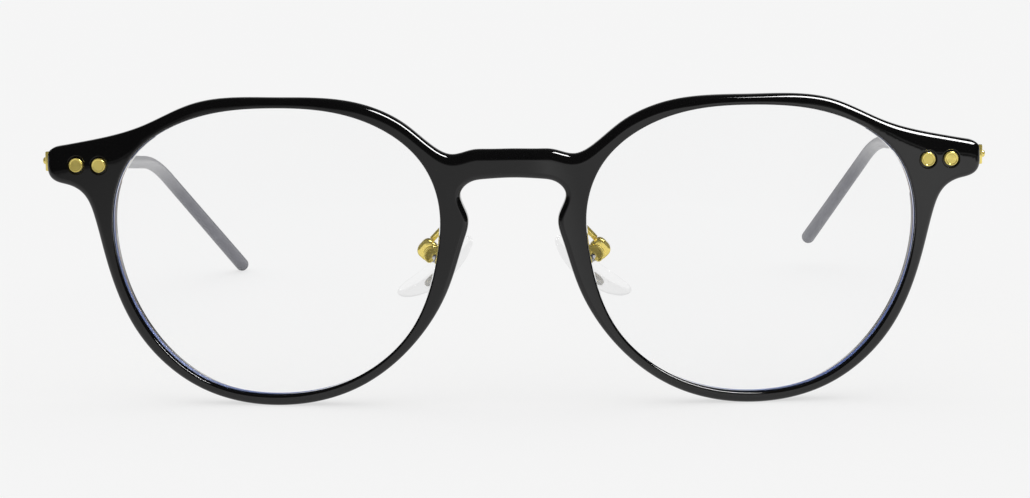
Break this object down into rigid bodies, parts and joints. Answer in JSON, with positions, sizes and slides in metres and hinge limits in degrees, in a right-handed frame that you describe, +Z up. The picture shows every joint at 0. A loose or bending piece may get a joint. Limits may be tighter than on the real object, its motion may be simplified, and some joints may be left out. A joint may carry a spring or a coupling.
{
  "type": "round eyeglasses",
  "caption": "Round eyeglasses: glossy acetate front with clear lenses, keyhole bridge, riveted end pieces, rocking nose pads and folding metal temples with slim tips.",
  "frame": {"origin": "middle of the whole pair's footprint, at the height of the table it stands on", "axes": "+X to the wearer's left, +Y from the front back towards the ears, +Z up"},
  "size_m": [0.1456, 0.1478, 0.0465],
  "materials": {
    "black_acetate": "polished gloss",
    "clear_lens": "clear, polished",
    "gold_metal": "polished gold plate",
    "temple_tip": "satin",
    "steel_screw": "polished",
    "clear_pad": "clear, soft",
    "pad_core": "satin"
  },
  "bodies": {
    "front": {"front": "black_acetate", "lens_left": "clear_lens", "lens_right": "clear_lens", "rivets_left": "gold_metal", "rivets_right": "gold_metal", "end_bracket_left": "gold_metal", "end_bracket_right": "gold_metal", "bracket_rivet_left": "gold_metal", "bracket_rivet_right": "gold_metal", "pad_arm_left": "gold_metal", "pad_arm_right": "gold_metal", "pad_box_left": "gold_metal", "pad_box_right": "gold_metal", "pad_screw_left": "steel_screw", "pad_screw_right": "steel_screw", "hinge_front_leaf_left": "gold_metal", "hinge_front_leaf_right": "gold_metal", "hinge_screw_left": "steel_screw", "hinge_screw_right": "steel_screw", "pad_arm_screw_left": "steel_screw", "pad_arm_screw_right": "steel_screw"},
    "temple_left": {"temple_arm_left": "gold_metal", "temple_tip_left": "temple_tip", "hinge_temple_leaf_left": "gold_metal"},
    "temple_right": {"temple_arm_right": "gold_metal", "temple_tip_right": "temple_tip", "hinge_temple_leaf_right": "gold_metal"},
    "nose_pad_left": {"nose_pad_left": "clear_pad", "pad_core_left": "pad_core"},
    "nose_pad_right": {"nose_pad_right": "clear_pad", "pad_core_right": "pad_core"}
  },
  "joints": [
    {"name": "temple_hinge_left", "type": "hinge", "parent": "front", "child": "temple_left", "pos_m": [0.06948, -0.05437, 0.03562], "axis": [0, 0, 1], "range_deg": [0, 84]},
    {"name": "temple_hinge_right", "type": "hinge", "parent": "front", "child": "temple_right", "pos_m": [-0.06948, -0.05437, 0.03562], "axis": [0, 0, -1], "range_deg": [0, 81]},
    {"name": "pad_rock_left", "type": "hinge", "parent": "front", "child": "nose_pad_left", "pos_m": [0.01205, -0.06431, 0.02168], "axis": [0, 1, 0], "range_deg": [0, 25]},
    {"name": "pad_rock_right", "type": "hinge", "parent": "front", "child": "nose_pad_right", "pos_m": [-0.01205, -0.06431, 0.02168], "axis": [0, -1, 0], "range_deg": [0, 25]}
  ]
}
